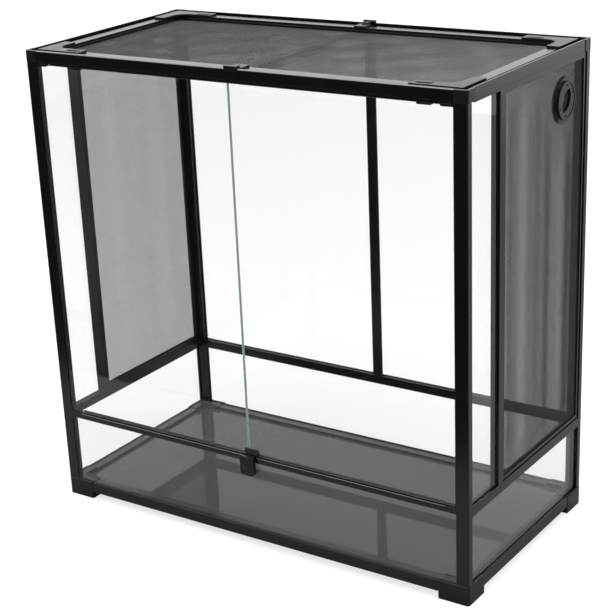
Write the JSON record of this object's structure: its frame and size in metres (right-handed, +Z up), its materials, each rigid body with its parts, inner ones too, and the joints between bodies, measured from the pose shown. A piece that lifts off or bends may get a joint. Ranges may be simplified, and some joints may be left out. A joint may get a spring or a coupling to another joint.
{
  "type": "reptile terrarium",
  "caption": "Tall front-opening terrarium with black bars, glass panes, mesh side windows, two hinged glass doors with a lock, a cable port and a lift-off mesh lid.",
  "frame": {"origin": "on the ground, in the middle of the base", "axes": "+Z up, +X to the right of someone who faces the doors, +Y from the doors to the back"},
  "size_m": [0.9, 0.4576, 0.8945],
  "materials": {
    "black_bar": "satin",
    "black_plastic": "satin",
    "clear_glass": "polished",
    "floor_glass": "polished",
    "screen_mesh": "satin",
    "plated_steel": "satin"
  },
  "bodies": {
    "cabinet": {"foot_front_left": "black_plastic", "foot_front_right": "black_plastic", "foot_back_left": "black_plastic", "foot_back_right": "black_plastic", "base_bar_front": "black_bar", "base_bar_back": "black_bar", "base_bar_left": "black_bar", "base_bar_right": "black_bar", "post_front_left": "black_bar", "post_front_right": "black_bar", "post_back_left": "black_bar", "post_back_right": "black_bar", "top_bar_front": "black_bar", "top_bar_back": "black_bar", "top_bar_left": "black_bar", "top_bar_right": "black_bar", "cap_front_left": "black_plastic", "cap_front_right": "black_plastic", "cap_back_left": "black_plastic", "cap_back_right": "black_plastic", "door_sill": "black_bar", "cross_bar_back": "black_bar", "cross_bar_left": "black_bar", "cross_bar_right": "black_bar", "divider_back": "black_bar", "divider_left": "black_bar", "divider_right": "black_bar", "floor_glass": "floor_glass", "lower_glass_front": "clear_glass", "lower_glass_back": "clear_glass", "lower_glass_left": "clear_glass", "lower_glass_right": "clear_glass", "upper_glass_back_left": "clear_glass", "upper_glass_back_right": "clear_glass", "strip_glass_left": "clear_glass", "strip_glass_right": "clear_glass", "side_mesh_left": "screen_mesh", "side_mesh_right": "screen_mesh", "mesh_frame_left": "black_bar", "mesh_frame_right": "black_bar", "port_flange": "black_plastic", "port_clamp_ring": "black_plastic", "port_screws": "plated_steel", "lock_housing": "black_plastic"},
    "door_left": {"door_glass_left": "clear_glass", "door_fittings_left": "black_bar"},
    "door_right": {"door_glass_right": "clear_glass", "door_fittings_right": "black_bar"},
    "key_barrel": {"lock_barrel": "plated_steel"},
    "bolt": {"lock_bolt": "black_bar"},
    "lid": {"screen_frame": "black_bar", "screen_corners": "black_plastic", "screen_mesh": "screen_mesh", "screen_crossbar": "black_bar", "screen_clips": "black_plastic"},
    "shutter": {"port_shutter": "black_plastic"},
    "latch_fl": {"latch_front_left": "black_plastic"},
    "latch_fr": {"latch_front_right": "black_plastic"},
    "latch_bl": {"latch_back_left": "black_plastic"},
    "latch_br": {"latch_back_right": "black_plastic"}
  },
  "joints": [
    {"name": "door_left_hinge", "type": "hinge", "parent": "cabinet", "child": "door_left", "pos_m": [-0.4135, -0.221, 0.18], "axis": [0, 0, -1], "range_deg": [0, 110]},
    {"name": "door_right_hinge", "type": "hinge", "parent": "cabinet", "child": "door_right", "pos_m": [0.4135, -0.221, 0.18], "axis": [0, 0, 1], "range_deg": [0, 110]},
    {"name": "key_turn", "type": "hinge", "parent": "cabinet", "child": "key_barrel", "pos_m": [-0.004, -0.232, 0.162], "axis": [0, 1, 0], "range_deg": [0, 120]},
    {"name": "bolt_slide", "type": "slide", "parent": "cabinet", "child": "bolt", "axis": [0, 0, 1], "range_m": [0, 0.01]},
    {"name": "lid_lift", "type": "slide", "parent": "cabinet", "child": "lid", "axis": [0, 0, 1], "range_m": [0, 0.06]},
    {"name": "shutter_turn", "type": "hinge", "parent": "cabinet", "child": "shutter", "pos_m": [0.447, 0.13, 0.8], "axis": [1, 0, 0], "range_deg": [0, 90]},
    {"name": "latch_fl_slide", "type": "slide", "parent": "lid", "child": "latch_fl", "axis": [0, -1, 0], "range_m": [0, 0.0045]},
    {"name": "latch_fr_slide", "type": "slide", "parent": "lid", "child": "latch_fr", "axis": [0, -1, 0], "range_m": [0, 0.0045]},
    {"name": "latch_bl_slide", "type": "slide", "parent": "lid", "child": "latch_bl", "axis": [0, 1, 0], "range_m": [0, 0.0045]},
    {"name": "latch_br_slide", "type": "slide", "parent": "lid", "child": "latch_br", "axis": [0, 1, 0], "range_m": [0, 0.0045]}
  ],
  "couplings": [
    {"joint": "key_turn", "follows": "bolt_slide", "rad_per_m": 157.07}
  ]
}
